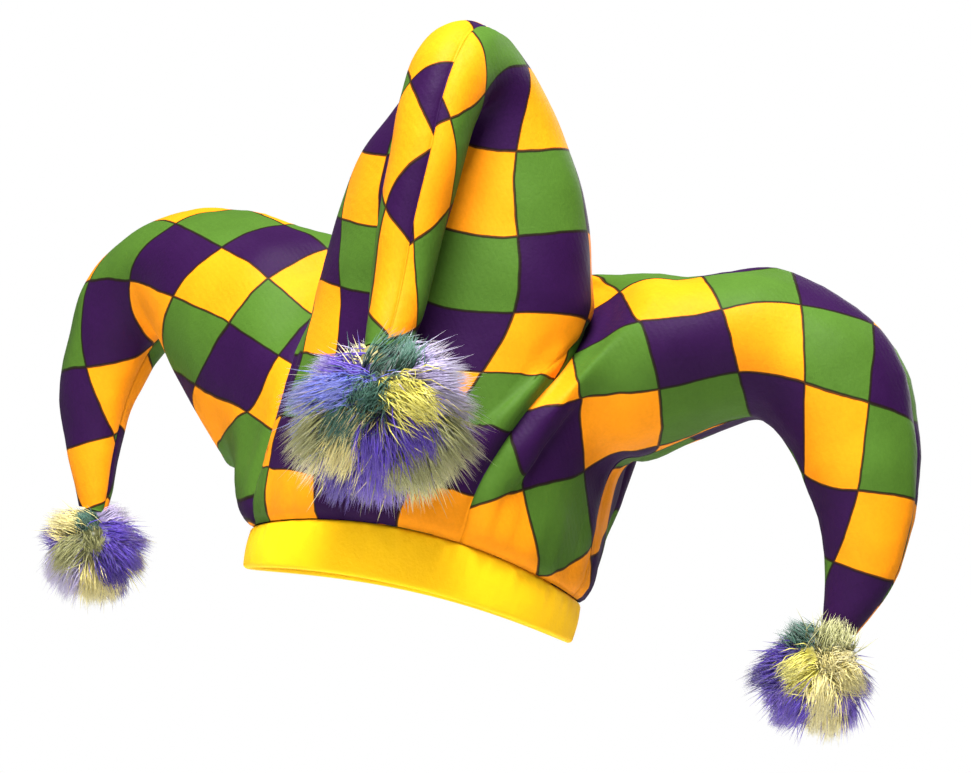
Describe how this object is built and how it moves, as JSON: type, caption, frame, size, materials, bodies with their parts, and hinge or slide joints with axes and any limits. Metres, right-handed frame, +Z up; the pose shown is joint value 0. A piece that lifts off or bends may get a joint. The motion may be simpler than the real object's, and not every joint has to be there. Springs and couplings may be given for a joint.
{
  "type": "jester hat",
  "caption": "Soft jester hat in a green, purple and yellow check, with a plain yellow band and drooping points that end in fur pompoms.",
  "frame": {"origin": "middle of the head opening, at the height of the band's lowest edge, where the head fills it", "axes": "+Z up the head, -Y towards the hanging front point, +X towards the point on the right of the picture"},
  "size_m": [0.5368, 0.3016, 0.3503],
  "materials": {
    "printed_cloth": "smooth printed polyester on thin foam, check of green, purple and yellow",
    "band_cloth": "smooth yellow polyester on thin foam",
    "fur_pile": "long-pile imitation fur in violet, green and cream"
  },
  "bodies": {
    "root": {"headband": "band_cloth", "front_point_right": "printed_cloth", "front_point_left": "printed_cloth", "right_point_front": "printed_cloth", "right_point_back": "printed_cloth", "left_point_front": "printed_cloth", "left_point_back": "printed_cloth", "back_panel": "printed_cloth", "pompom_front": "fur_pile", "pompom_left": "fur_pile", "pompom_right": "fur_pile"}
  },
  "joints": []
}
